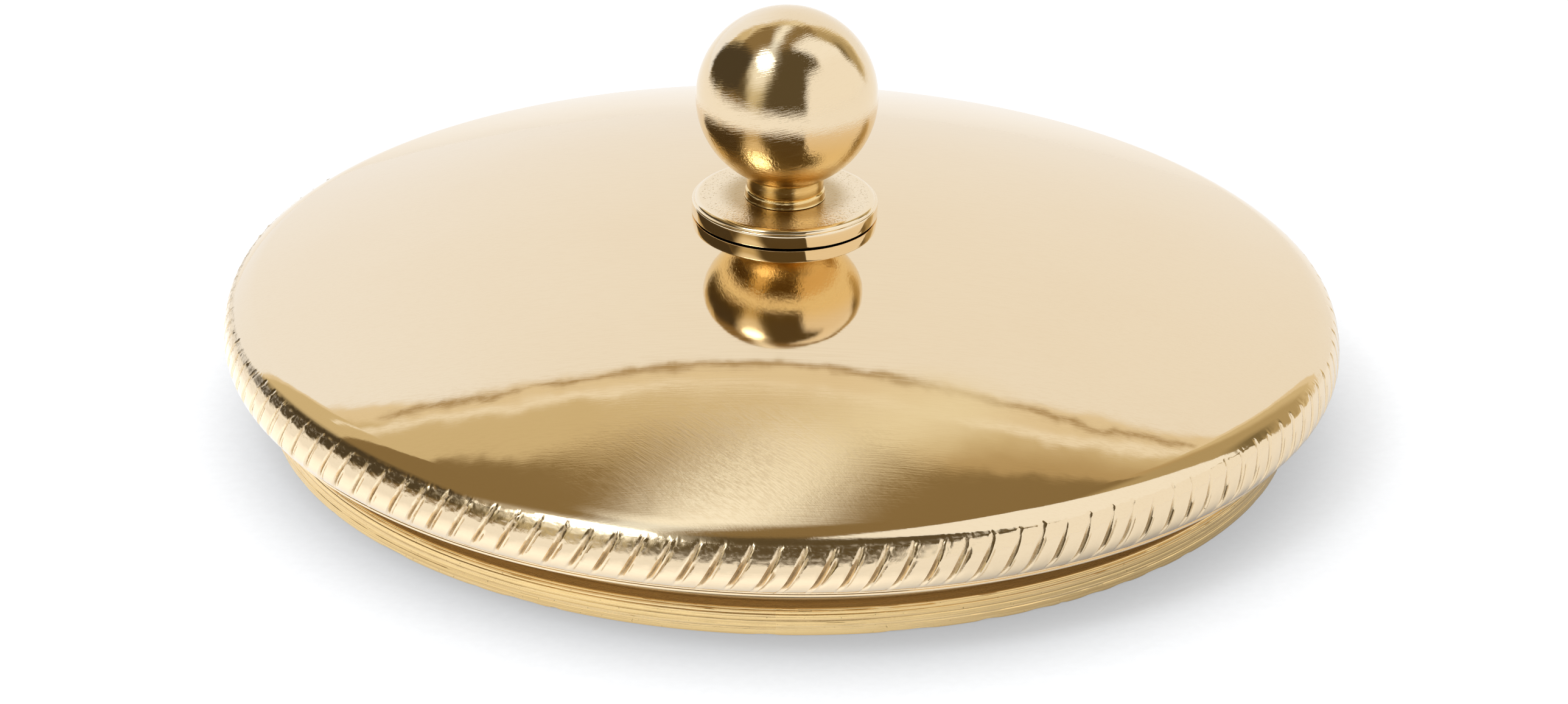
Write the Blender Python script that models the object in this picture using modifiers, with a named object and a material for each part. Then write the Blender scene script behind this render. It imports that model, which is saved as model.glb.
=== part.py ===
"""The lid of a ciborium, in brass: a shallow domed cover with a bull-nosed rim, the turned ring it stands
on, and a ball knob held by a stud and nut. Metres, +Z up, origin at the centre of the ring's lower face."""

import math

import bmesh
import bpy

# Cover
RIM_RADIUS = 0.0615
APEX_HEIGHT = 0.0237
DOME_RADIUS = 0.178
RIM_ROUND = 0.0051
WALL = 0.0016
SEAT_HEIGHT = 0.0064
FLANGE_THICKNESS = 0.0016
LIP_RADIUS = 0.0600
LIP_HEIGHT = 0.0006
LIP_STEP = 0.0002

# Seating ring
RING_RADIUS = 0.0563
RING_BAND_HEIGHT = 0.0031
RING_NECK_RADIUS = 0.0543
RING_BORE_RADIUS = 0.0518
RING_TOP = 0.0087
RING_CHAMFER = 0.0003

# Knob
BALL_RADIUS = 0.0100
BALL_CENTRE_ABOVE_COLLAR = 0.01074
NECK_RADIUS = 0.0042
NECK_CHAMFER = 0.00015
COLLAR_RADIUS = 0.00436
COLLAR_HEIGHT = 0.0010
ROSETTE_RADIUS = 0.0102
ROSETTE_THICKNESS = 0.0018
ROSETTE_CHAMFER = 0.0004

# Fixings: M5 stud, washers and nut
STUD_RADIUS = 0.0025
STUD_LENGTH = 0.020
STUD_CHAMFER = 0.0005
STUD_BELOW_NUT = 0.0010
WASHER_RADIUS = 0.0050
WASHER_THICKNESS = 0.0010
SPRING_WASHER_RADIUS = 0.0046
SPRING_WASHER_THICKNESS = 0.0012
SPRING_WASHER_SPLIT = 0.0010
SPRING_WASHER_SLANT = math.radians(30)
NUT_ACROSS_FLATS = 0.0080
NUT_HEIGHT = 0.0040
NUT_CHAMFER_ANGLE = math.radians(30)
NUT_LENS_OVERSIZE = 1.1

GAP = 0.0003
STUD_HOLE_RADIUS = STUD_RADIUS + GAP

# Facets round each turned piece
WIDE_FACETS = 64
BALL_FACETS = 40
SMALL_FACETS = 32
SHARP_ANGLE = math.radians(35)

# Heights worked out from the dimensions above
DOME_CENTRE = APEX_HEIGHT - DOME_RADIUS
ROUND_RADIUS = RIM_RADIUS - RIM_ROUND
ROUND_HEIGHT = DOME_CENTRE + math.sqrt((DOME_RADIUS - RIM_ROUND) ** 2 - ROUND_RADIUS**2)
TANGENT_ANGLE = math.asin(ROUND_RADIUS / (DOME_RADIUS - RIM_ROUND))
ROSETTE_TOP = APEX_HEIGHT + ROSETTE_THICKNESS
COLLAR_TOP = ROSETTE_TOP + COLLAR_HEIGHT
BALL_CENTRE = COLLAR_TOP + BALL_CENTRE_ABOVE_COLLAR

# Colours, and the roughness of each finish
BRASS = (0.83, 0.62, 0.30)
STEEL = (0.62, 0.62, 0.60)
POLISHED = 0.12
SATIN = 0.28
TURNED = 0.32


def clear_scene():
    for obj in list(bpy.data.objects):
        bpy.data.objects.remove(obj, do_unlink=True)


def new_collection(name):
    collection = bpy.data.collections.new(name)
    bpy.context.scene.collection.children.link(collection)
    return collection


def metal(name, colour, roughness):
    material = bpy.data.materials.new(name)
    material.use_nodes = True
    shader = material.node_tree.nodes["Principled BSDF"]
    shader.inputs["Base Color"].default_value = (*colour, 1.0)
    shader.inputs["Metallic"].default_value = 1.0
    shader.inputs["Roughness"].default_value = roughness
    return material


def dome_height(radius, sphere_radius):
    """Height, at this distance from the axis, of a sphere about the dome's centre."""
    return DOME_CENTRE + math.sqrt(sphere_radius**2 - radius**2)


def arc(centre, radius, start, end, steps):
    """Points (r, z) of an arc. Angles are from straight up, growing outwards and down."""
    angles = [start + (end - start) * i / steps for i in range(steps + 1)]
    return [
        (centre[0] + radius * math.sin(angle), centre[1] + radius * math.cos(angle))
        for angle in angles
    ]


def outline_mesh(name, profile, closed):
    mesh = bpy.data.meshes.new(name)
    count = len(profile)
    edges = [(i, (i + 1) % count) for i in range(count if closed else count - 1)]
    mesh.from_pydata([(r, 0.0, z) for r, z in profile], edges, [])
    return mesh


def turned(name, profile, facets, material, collection, closed=True):
    """A solid of revolution about Z. The profile runs down its outer side first."""
    obj = bpy.data.objects.new(name, outline_mesh(name, profile, closed))
    collection.objects.link(obj)
    screw = obj.modifiers.new("Turn", "SCREW")
    screw.axis = "Z"
    screw.steps = facets
    screw.render_steps = facets
    screw.use_merge_vertices = True
    screw.merge_threshold = 0.00001
    if material:
        obj.data.materials.append(material)
    return obj


def move_to(obj, collection):
    for owner in list(obj.users_collection):
        owner.objects.unlink(obj)
    collection.objects.link(obj)


def helper(obj):
    """Keeps a cutter out of the built object."""
    obj.hide_render = True
    obj.display_type = "WIRE"
    return obj


def add_boolean(obj, cutter, operation):
    boolean = obj.modifiers.new(operation.title(), "BOOLEAN")
    boolean.operation = operation
    boolean.object = cutter
    boolean.solver = "EXACT"


def finish(obj):
    """Applies the modifiers and shades the round faces smooth, with crisp edges."""
    graph = bpy.context.evaluated_depsgraph_get()
    mesh = bpy.data.meshes.new_from_object(obj.evaluated_get(graph))
    obj.modifiers.clear()
    obj.data = mesh
    mesh.shade_smooth()
    mesh.set_sharp_from_angle(angle=SHARP_ANGLE)
    return obj


def ring_profile(inner, outer, bottom, top):
    """A plain flat ring, such as a washer."""
    return [(inner, top), (outer, top), (outer, bottom), (inner, bottom)]


def dome_cover(collection):
    """Spun cover: dome, bull-nosed rim turned under into a flat flange, and a hole for the stud."""
    dome_centre = (0.0, DOME_CENTRE)
    round_centre = (ROUND_RADIUS, ROUND_HEIGHT)
    inner_sphere = DOME_RADIUS - WALL
    hole_angle = math.asin(STUD_HOLE_RADIUS / DOME_RADIUS)
    inner_hole_angle = math.asin(STUD_HOLE_RADIUS / inner_sphere)
    upright = math.pi / 2

    # The under side of the rim is an arc, upright at the widest point, that ends on the lip.
    lip_top = SEAT_HEIGHT + LIP_HEIGHT
    inset = RIM_RADIUS - LIP_RADIUS - LIP_STEP
    drop = ROUND_HEIGHT - lip_top
    under_round = (inset**2 + drop**2) / (2 * inset)
    under_turn = 2 * math.atan2(inset, drop)
    under_centre = (RIM_RADIUS - under_round, ROUND_HEIGHT)

    flange_top = SEAT_HEIGHT + FLANGE_THICKNESS
    bore = RING_NECK_RADIUS + GAP
    profile = arc(dome_centre, DOME_RADIUS, hole_angle, TANGENT_ANGLE, 9)
    profile += arc(round_centre, RIM_ROUND, TANGENT_ANGLE, upright, 7)[1:]
    profile += arc(under_centre, under_round, upright, upright + under_turn, 4)[1:]
    profile += [(LIP_RADIUS, lip_top), (LIP_RADIUS, SEAT_HEIGHT)]
    profile += [(bore, SEAT_HEIGHT), (bore, flange_top), (RIM_RADIUS - WALL, flange_top)]
    profile += arc(round_centre, RIM_ROUND - WALL, upright, TANGENT_ANGLE, 4)
    profile += arc(dome_centre, inner_sphere, TANGENT_ANGLE, inner_hole_angle, 8)[1:]
    brass = metal("cover_brass", BRASS, POLISHED)
    return finish(turned("dome_cover", profile, WIDE_FACETS, brass, collection))


def seating_ring(collection):
    """Turned ring: a plain band at the bottom, then a narrower neck that stands up inside the rim."""
    low = RING_RADIUS - RING_CHAMFER
    profile = [
        (RING_NECK_RADIUS, RING_TOP),
        (RING_NECK_RADIUS, RING_BAND_HEIGHT),
        (low, RING_BAND_HEIGHT),
        (RING_RADIUS, RING_BAND_HEIGHT - RING_CHAMFER),
        (RING_RADIUS, RING_CHAMFER),
        (low, 0.0),
        (RING_BORE_RADIUS, 0.0),
        (RING_BORE_RADIUS, RING_TOP),
    ]
    brass = metal("ring_brass", BRASS, TURNED)
    return finish(turned("seating_ring", profile, WIDE_FACETS, brass, collection))


def knob_ball(collection):
    """Ball and neck in one, with a blind hole from below for the stud."""
    neck_angle = math.pi - math.asin(NECK_RADIUS / BALL_RADIUS)
    foot = COLLAR_TOP + GAP
    hole_top = stud_bottom() + STUD_LENGTH + GAP
    profile = arc((0.0, BALL_CENTRE), BALL_RADIUS, 0.0, neck_angle, 18)
    profile += [
        (NECK_RADIUS, foot + NECK_CHAMFER),
        (NECK_RADIUS - NECK_CHAMFER, foot),
        (STUD_HOLE_RADIUS, foot),
        (STUD_HOLE_RADIUS, hole_top),
        (0.0, hole_top),
    ]
    brass = metal("ball_brass", BRASS, POLISHED)
    return finish(turned("knob_ball", profile, BALL_FACETS, brass, collection, closed=False))


def knob_collar(collection):
    """Spacer between the neck and the rosette, with a bevelled top edge."""
    bottom = ROSETTE_TOP + GAP
    profile = ring_profile(STUD_HOLE_RADIUS, COLLAR_RADIUS, bottom, COLLAR_TOP)
    edge = [(COLLAR_RADIUS - NECK_CHAMFER, COLLAR_TOP), (COLLAR_RADIUS, COLLAR_TOP - NECK_CHAMFER)]
    profile[1:2] = edge
    brass = metal("collar_brass", BRASS, POLISHED)
    return finish(turned("knob_collar", profile, SMALL_FACETS, brass, collection))


def knob_rosette(collection):
    """Disc under the knob. Its lower face is dished to follow the dome at an even gap."""
    dish = DOME_RADIUS + GAP
    hole_angle = math.asin(STUD_HOLE_RADIUS / dish)
    edge_angle = math.asin(ROSETTE_RADIUS / dish)
    profile = [
        (STUD_HOLE_RADIUS, ROSETTE_TOP),
        (ROSETTE_RADIUS - ROSETTE_CHAMFER, ROSETTE_TOP),
        (ROSETTE_RADIUS, ROSETTE_TOP - ROSETTE_CHAMFER),
    ]
    profile += arc((0.0, DOME_CENTRE), dish, edge_angle, hole_angle, 3)
    brass = metal("rosette_brass", BRASS, SATIN)
    return finish(turned("knob_rosette", profile, WIDE_FACETS, brass, collection))


def washer_top():
    """The washer is flat and the cover is hollow above it, so its outer edge is what meets the cover."""
    return dome_height(WASHER_RADIUS, DOME_RADIUS - WALL) - GAP


def spring_washer_top():
    return washer_top() - WASHER_THICKNESS - GAP


def nut_top():
    return spring_washer_top() - SPRING_WASHER_THICKNESS - GAP


def stud_bottom():
    return nut_top() - NUT_HEIGHT - STUD_BELOW_NUT


def knob_stud(collection):
    """Stud from the ball down through the cover, with a chamfer at each end."""
    bottom = stud_bottom()
    top = bottom + STUD_LENGTH
    profile = [
        (0.0, top),
        (STUD_RADIUS - STUD_CHAMFER, top),
        (STUD_RADIUS, top - STUD_CHAMFER),
        (STUD_RADIUS, bottom + STUD_CHAMFER),
        (STUD_RADIUS - STUD_CHAMFER, bottom),
        (0.0, bottom),
    ]
    steel = metal("stud_steel", STEEL, SATIN)
    return finish(turned("knob_stud", profile, SMALL_FACETS, steel, collection, closed=False))


def backing_washer(collection):
    top = washer_top()
    profile = ring_profile(STUD_HOLE_RADIUS, WASHER_RADIUS, top - WASHER_THICKNESS, top)
    steel = metal("washer_steel", STEEL, SATIN)
    return finish(turned("backing_washer", profile, SMALL_FACETS, steel, collection))


def spring_washer(collection, cutters):
    """Square-section ring, split by one slanting cut."""
    top = spring_washer_top()
    bottom = top - SPRING_WASHER_THICKNESS
    profile = ring_profile(STUD_HOLE_RADIUS, SPRING_WASHER_RADIUS, bottom, top)
    steel = metal("spring_washer_steel", STEEL, TURNED)
    obj = turned("spring_washer", profile, SMALL_FACETS, steel, collection)

    bpy.ops.mesh.primitive_cube_add(size=1.0)
    cutter = helper(bpy.context.object)
    cutter.name = "spring_washer_split"
    cutter.location = (0.0, -SPRING_WASHER_RADIUS, (top + bottom) / 2)
    cutter.scale = (SPRING_WASHER_SPLIT, SPRING_WASHER_RADIUS, 4 * SPRING_WASHER_THICKNESS)
    cutter.rotation_euler = (0.0, SPRING_WASHER_SLANT, 0.0)
    move_to(cutter, cutters)
    add_boolean(obj, cutter, "DIFFERENCE")
    return finish(obj)


def hex_nut(collection, cutters):
    """Hexagonal prism with a hole, its corners taken off by a turned lens shape."""
    top = nut_top()
    bottom = top - NUT_HEIGHT
    corner = NUT_ACROSS_FLATS / 2 / math.cos(math.pi / 6)
    mesh = bpy.data.meshes.new("hex_nut")
    shape = bmesh.new()
    bmesh.ops.create_cone(
        shape, cap_ends=True, segments=6, radius1=corner, radius2=corner, depth=NUT_HEIGHT
    )
    bmesh.ops.translate(shape, verts=shape.verts, vec=(0.0, 0.0, (top + bottom) / 2))
    shape.to_mesh(mesh)
    shape.free()
    obj = bpy.data.objects.new("hex_nut", mesh)
    mesh.materials.append(metal("nut_steel", STEEL, SATIN))
    collection.objects.link(obj)

    # The lens is as wide as the flats at both faces, and wider than the corners between them.
    flat = NUT_ACROSS_FLATS / 2
    wide = corner * NUT_LENS_OVERSIZE
    rise = (wide - flat) * math.tan(NUT_CHAMFER_ANGLE)
    lens_profile = [(0.0, top), (flat, top), (wide, top - rise)]
    lens_profile += [(wide, bottom + rise), (flat, bottom), (0.0, bottom)]
    lens = turned("nut_lens", lens_profile, SMALL_FACETS, None, cutters, closed=False)

    above = top + NUT_HEIGHT / 4
    below = bottom - NUT_HEIGHT / 4
    bore_profile = [(0.0, above), (STUD_HOLE_RADIUS, above), (STUD_HOLE_RADIUS, below), (0.0, below)]
    bore = turned("nut_bore", bore_profile, SMALL_FACETS, None, cutters, closed=False)
    add_boolean(obj, helper(lens), "INTERSECT")
    add_boolean(obj, helper(bore), "DIFFERENCE")
    return finish(obj)


def main():
    clear_scene()
    parts = new_collection("ciborium_lid")
    cutters = new_collection("cutters")
    cutters.hide_render = True
    dome_cover(parts)
    seating_ring(parts)
    knob_ball(parts)
    knob_collar(parts)
    knob_rosette(parts)
    knob_stud(parts)
    backing_washer(parts)
    spring_washer(parts, cutters)
    hex_nut(parts, cutters)


main()
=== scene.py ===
"""Looks of a brass ciborium lid: a domed cover with a hand-notched rim, its turned seating ring, and a ball
knob held by a stud, washers and a nut. Metres, +Z up, the front towards -Y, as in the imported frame."""

import math

import bpy
import numpy as np
from mathutils import Matrix, Vector


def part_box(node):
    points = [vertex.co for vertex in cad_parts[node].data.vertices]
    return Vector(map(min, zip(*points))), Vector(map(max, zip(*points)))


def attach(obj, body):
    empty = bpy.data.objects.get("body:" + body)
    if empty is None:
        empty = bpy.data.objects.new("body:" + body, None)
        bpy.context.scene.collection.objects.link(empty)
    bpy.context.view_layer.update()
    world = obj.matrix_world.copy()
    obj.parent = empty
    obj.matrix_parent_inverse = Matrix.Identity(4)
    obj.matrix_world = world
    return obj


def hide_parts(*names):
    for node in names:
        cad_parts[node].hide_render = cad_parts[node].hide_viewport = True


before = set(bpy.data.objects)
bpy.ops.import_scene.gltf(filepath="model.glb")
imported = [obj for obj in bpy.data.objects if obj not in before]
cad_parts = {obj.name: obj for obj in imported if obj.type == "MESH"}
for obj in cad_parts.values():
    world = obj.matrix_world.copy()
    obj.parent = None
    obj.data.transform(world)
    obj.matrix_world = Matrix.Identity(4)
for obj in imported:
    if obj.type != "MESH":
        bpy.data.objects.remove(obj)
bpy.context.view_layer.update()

MM = 0.001
FULL_TURN = 2 * math.pi
UPRIGHT = math.pi / 2

# Cover: shape of the section, as in the frame
DOME_RADIUS = 178 * MM
RIM_ROUND = 5.1 * MM
WALL = 1.6 * MM
FLANGE_THICKNESS = 1.6 * MM
LIP_INSET = 1.3 * MM
LIP_STEP = 0.2 * MM
LIP_HEIGHT = 0.6 * MM
GAP = 0.3 * MM

# Notches round the rim
NOTCHES = 134
BROW_RADIUS = 7.0 * MM
BROW_END = math.radians(42)
CORNER_END = math.radians(70)
NOTCH_SLANT = 3.2 * MM
NOTCH_CURVE = 1.2
NOTCH_ROWS = 34
NOTCH_COLUMNS = (-1.44, -1.10, -0.78, -0.52, -0.33, -0.19, -0.09, 0.0,
                 0.09, 0.19, 0.33, 0.50, 0.62, 0.74, 0.90, 1.15)
STITCH = 4  # fine columns to each coarse one

# Finishes, as linear colours: cover and knob, ring, disc, steel; the ring's groove colour and the disc's colour
# by the collar are painted shade
POLISHED_BRASS = (0.855, 0.694, 0.470)
CLOUDED_BRASS = (0.80, 0.60, 0.36)
STREAKED_BRASS = (0.78, 0.60, 0.38)
LIP_BRASS = (0.80, 0.60, 0.34)
TARNISH = (0.640, 0.430, 0.190)
BALL_UNDERSIDE = (0.86, 0.62, 0.26)
BALL_SWIRL = (0.74, 0.56, 0.33)
TURNED_BRASS = (0.960, 0.695, 0.320)
TOOL_LINE = (0.64, 0.42, 0.18)
PALE_LINE = (0.88, 0.68, 0.40)
DARK_PIT = (0.25, 0.15, 0.05)
GROOVE_PAINTED_SHADE = (0.52, 0.44, 0.32)
BROWN_LINE = (0.52, 0.32, 0.12)
RING_FOOT = (0.66, 0.42, 0.15)
SATIN_BRASS = (0.90, 0.75, 0.53)
SATIN_LINE = (0.80, 0.62, 0.38)
SATIN_PAINTED_SHADE_BY_COLLAR = (0.50, 0.34, 0.14)
SATIN_SPECK = (0.42, 0.28, 0.11)
ZINC = (0.640, 0.630, 0.600)
DULL_ZINC = (0.400, 0.400, 0.380)
YELLOW_ZINC = (0.62, 0.56, 0.38)


# ---------------------------------------------------------------- mesh tools

def smooth_step(low, high, value):
    share = np.clip((value - low) / (high - low), 0.0, 1.0)
    return share * share * (3 - 2 * share)


def bell(value, centre, width):
    return np.exp(-((value - centre) / width) ** 2)


def circle(radius, height, angles):
    """Points round the axis, from 0 at the front (-Y) towards +X. Radius and height may vary on the way."""
    angles = np.asarray(angles, float)
    radius = np.broadcast_to(radius, angles.shape)
    height = np.broadcast_to(height, angles.shape)
    return np.stack([radius * np.sin(angles), -radius * np.cos(angles), height], axis=-1)


def even_angles(count):
    return np.arange(count) * FULL_TURN / count


def band_faces(first, first_count, second, second_count):
    """Faces between two rings, the first above the second on an outer side."""
    if first_count == second_count:
        here = np.arange(first_count)
        there = (here + 1) % first_count
        return np.stack([first + here, second + here, second + there, first + there], -1).tolist()
    faces = []
    if second_count == 1 or first_count == 1:
        count = max(first_count, second_count)
        for here in range(count):
            there = (here + 1) % count
            if second_count == 1:
                faces.append((first + here, second, first + there))
            else:
                faces.append((first, second + here, second + there))
        return faces
    fine_first = first_count > second_count
    coarse, fine = (second, first) if fine_first else (first, second)
    coarse_count, fine_count = sorted((first_count, second_count))
    for here in range(coarse_count):
        left = coarse + here
        right = coarse + (here + 1) % coarse_count
        run = [fine + (STITCH * here + k) % fine_count for k in range(STITCH + 1)]
        fan = [(run[0], left, run[1]), (run[1], left, run[2]), (run[2], left, right),
               (run[2], right, run[3]), (run[3], right, run[4])]
        faces += fan if fine_first else [face[::-1] for face in fan]
    return faces


def make_piece(name, points, faces, material, sharp_degrees=38):
    """An object of this mesh, shaded smooth except where it bends by more than sharp_degrees."""
    mesh = bpy.data.meshes.new(name)
    mesh.from_pydata(np.asarray(points).tolist(), [], faces)
    mesh.validate()
    mesh.shade_smooth()
    mesh.set_sharp_from_angle(angle=math.radians(sharp_degrees))
    mesh.materials.append(material)
    piece = bpy.data.objects.new(name, mesh)
    bpy.context.scene.collection.objects.link(piece)
    return piece


def turned_piece(name, rings, material, closed=True, sharp_degrees=38):
    """A turned solid from rings of points that run down its outer side. A ring of one point is a pole."""
    starts = np.cumsum([0] + [len(ring) for ring in rings])
    pairs = [(k, k + 1) for k in range(len(rings) - 1)]
    if closed:
        pairs.append((len(rings) - 1, 0))
    faces = []
    for above, below in pairs:
        faces += band_faces(int(starts[above]), len(rings[above]), int(starts[below]), len(rings[below]))
    return make_piece(name, np.concatenate(rings), faces, material, sharp_degrees)


def rings_of(profile, columns):
    return [circle(radius, height, even_angles(columns)) for radius, height in profile]


def arc(centre, radius, start, end, steps):
    """Points (r, z) of an arc. Angles are from straight up, growing outwards and down."""
    return [(centre[0] + radius * math.sin(angle), centre[1] + radius * math.cos(angle))
            for angle in np.linspace(start, end, steps + 1)]


def rounded(profile, radius, steps=3):
    """The closed (r, z) outline with each corner replaced by a small round of about this radius."""
    result = []
    count = len(profile)
    for k in range(count):
        corner = np.array(profile[k])
        before = np.array(profile[k - 1]) - corner
        after = np.array(profile[(k + 1) % count]) - corner
        reach = min(radius, 0.45 * np.linalg.norm(before), 0.45 * np.linalg.norm(after))
        start = corner + before / np.linalg.norm(before) * reach
        end = corner + after / np.linalg.norm(after) * reach
        for share in np.linspace(0, 1, steps + 1):
            bend = (1 - share) ** 2 * start + 2 * share * (1 - share) * corner + share**2 * end
            result.append(tuple(bend))
    return result


def stud_hole():
    """Radius of the holes that the stud passes through."""
    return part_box("knob_stud")[1].x + GAP


# ---------------------------------------------------------------- cover

class CoverShape:
    """Section of the cover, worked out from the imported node's box. Outside, the dome bends gently down to the
    notches, then turns a tight corner and falls nearly upright, as metal spun over a former does."""

    def __init__(self):
        low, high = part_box("dome_cover")
        self.hole = stud_hole()
        self.rim = high.x
        self.seat = low.z
        self.centre = high.z - math.sqrt(DOME_RADIUS**2 - self.hole**2)
        self.round_radius = self.rim - RIM_ROUND
        self.round_height = self.centre + math.sqrt((DOME_RADIUS - RIM_ROUND) ** 2 - self.round_radius**2)
        self.tangent = math.asin(self.round_radius / (DOME_RADIUS - RIM_ROUND))
        self.arcs = self.outer_arcs()
        drop = self.round_height - self.seat - LIP_HEIGHT
        self.under_round = (LIP_INSET**2 + drop**2) / (2 * LIP_INSET)
        self.under_turn = 2 * math.atan2(LIP_INSET, drop)

    def outer_arcs(self):
        """The brow, corner and side: (radius, first slope, last slope, r and z at its start)."""
        ends = (self.tangent, BROW_END, CORNER_END, UPRIGHT)
        across = [math.sin(b) - math.sin(a) for a, b in zip(ends, ends[1:])]
        down = [math.cos(a) - math.cos(b) for a, b in zip(ends, ends[1:])]
        r = DOME_RADIUS * math.sin(self.tangent)
        z = self.centre + DOME_RADIUS * math.cos(self.tangent)
        left = (self.rim - r - BROW_RADIUS * across[0], z - self.round_height - BROW_RADIUS * down[0])
        corner, side = np.linalg.solve([across[1:], down[1:]], left)
        arcs = []
        for k, radius in enumerate((BROW_RADIUS, float(corner), float(side))):
            arcs.append((radius, ends[k], ends[k + 1], r, z))
            r += radius * across[k]
            z -= radius * down[k]
        return arcs

    def outer(self, slope):
        """(r, z) on the outside where it slopes this much, up to upright."""
        if slope <= self.tangent:
            return DOME_RADIUS * math.sin(slope), self.centre + DOME_RADIUS * math.cos(slope)
        for radius, first, last, r, z in self.arcs:
            if slope <= last + 1e-9:
                break
        across = radius * (math.sin(slope) - math.sin(first))
        down = radius * (math.cos(first) - math.cos(slope))
        return r + across, z - down

    def notched(self, share):
        """(r, z, slope) along the notched band: corner and side, then the arc that turns in under them."""
        outside = sum(radius * (last - first) for radius, first, last, _, _ in self.arcs[1:])
        left = share * (outside + self.under_round * self.under_turn)
        for radius, first, last, _, _ in self.arcs[1:]:
            if left <= radius * (last - first):
                slope = first + left / radius
                return *self.outer(slope), slope
            left -= radius * (last - first)
        slope = UPRIGHT + left / self.under_round
        return (self.rim - self.under_round * (1 - math.sin(slope)),
                self.round_height + self.under_round * math.cos(slope), slope)


def notch_shift(share):
    """How far round the rim a notch has moved, at this share of its length, from its lower end."""
    return NOTCH_SLANT * (1 - share**NOTCH_CURVE)


def notch_relief(rng, shares, offsets):
    """Height and bareness of the notched band: arrays of (row, notch, column). The shares run down the notch,
    the offsets are in mm across it. Each notch is cut by hand, so its depth, length and burrs vary, and many
    are struck a second time. They are calmer on the right."""
    t = shares[:, None, None]
    across = offsets[None, None, :]

    def each(low, high):
        return rng.uniform(low, high, NOTCHES)[None, :, None]

    turn = np.degrees(np.arange(NOTCHES) * FULL_TURN / NOTCHES)[None, :, None]
    calm = smooth_step(10, 24, turn) * (1 - smooth_step(150, 200, turn))

    # The cut itself
    depth = each(0.26, 0.42) * MM * (1 - 0.45 * calm)
    width = each(0.23, 0.36)
    lean = each(-0.16, 0.16)
    start = each(-0.03, 0.04)
    end = each(0.88, 1.0)
    bent = across - lean * (t - 0.5)
    wall = np.clip(1 - np.abs(bent) / width, 0, 1) ** 0.8
    along = (0.36 + 0.64 * smooth_step(0.15, 0.50, t)) * smooth_step(start - 0.03, start + 0.06, t)
    along = along * (1 - smooth_step(end - 0.25, end, t))
    cut = depth * wall * along

    # A second strike beside it
    twin_place = each(0.50, 0.74)
    twin_depth = each(-0.04, 0.27).clip(0) * MM * (1 - 0.5 * calm)
    twin_from = each(0.15, 0.45)
    twin_to = each(0.72, 0.96)
    twin_wall = np.clip(1 - np.abs(bent - twin_place) / 0.18, 0, 1) ** 0.9
    twin_along = smooth_step(twin_from, twin_from + 0.12, t) * (1 - smooth_step(twin_to - 0.15, twin_to, t))
    twin = twin_depth * twin_wall * twin_along

    # Metal that gave way beside the cut, and metal pushed up: along its lips, at its top and at its foot
    sag = 0.085 * MM * along * np.exp(-np.abs(bent) / 0.50)
    ridge = 0.045 * MM * along * (bell(bent, -width - 0.08, 0.10) + bell(bent, width + 0.10, 0.12))
    burr_place = each(0.03, 0.10)
    burr = each(0.06, 0.19) * MM * (1 - 0.75 * calm) * bell(t, burr_place, 0.045) * bell(bent, 0.12, 0.22)
    foot = each(0.0, 0.07) * MM * bell(t, 0.985, 0.03) * bell(bent, -0.15, 0.35)

    # Torn metal in the cut, and a dimpled surface, which is battered most in its upper part
    rough = rng.normal(0, 1, (len(shares), NOTCHES, len(offsets)))
    battered = (1 - smooth_step(0.22, 0.42, t)) * (1 - 0.8 * calm)
    torn = 0.033 * MM * (1 - 0.85 * calm) * rough * np.clip(wall + twin_wall * twin_along, 0, 1) * along
    dimple = (0.003 + 0.009 * battered) * MM * rng.normal(0, 1, rough.shape)
    height = ridge + burr + foot + torn + dimple - cut - twin - sag
    bare = np.clip(wall * along + 0.8 * twin_wall * twin_along + 0.2 * battered * (1 + (rough > 0.6)), 0, 1)
    return height, bare


def notch_angles(rng):
    """Angle of each fine column at the notches' lower end, and each column's place in its notch in mm."""
    offsets = np.array(NOTCH_COLUMNS)
    pitch = FULL_TURN / NOTCHES
    drift = rng.uniform(-0.16, 0.16, NOTCHES) * MM
    hold = 1 - smooth_step(0.75, 1.30, np.abs(offsets))
    place = offsets[None, :] * MM + drift[:, None] * hold[None, :]
    shape = CoverShape()
    return (np.arange(NOTCHES)[:, None] * pitch + place / shape.rim).ravel(), offsets


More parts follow.
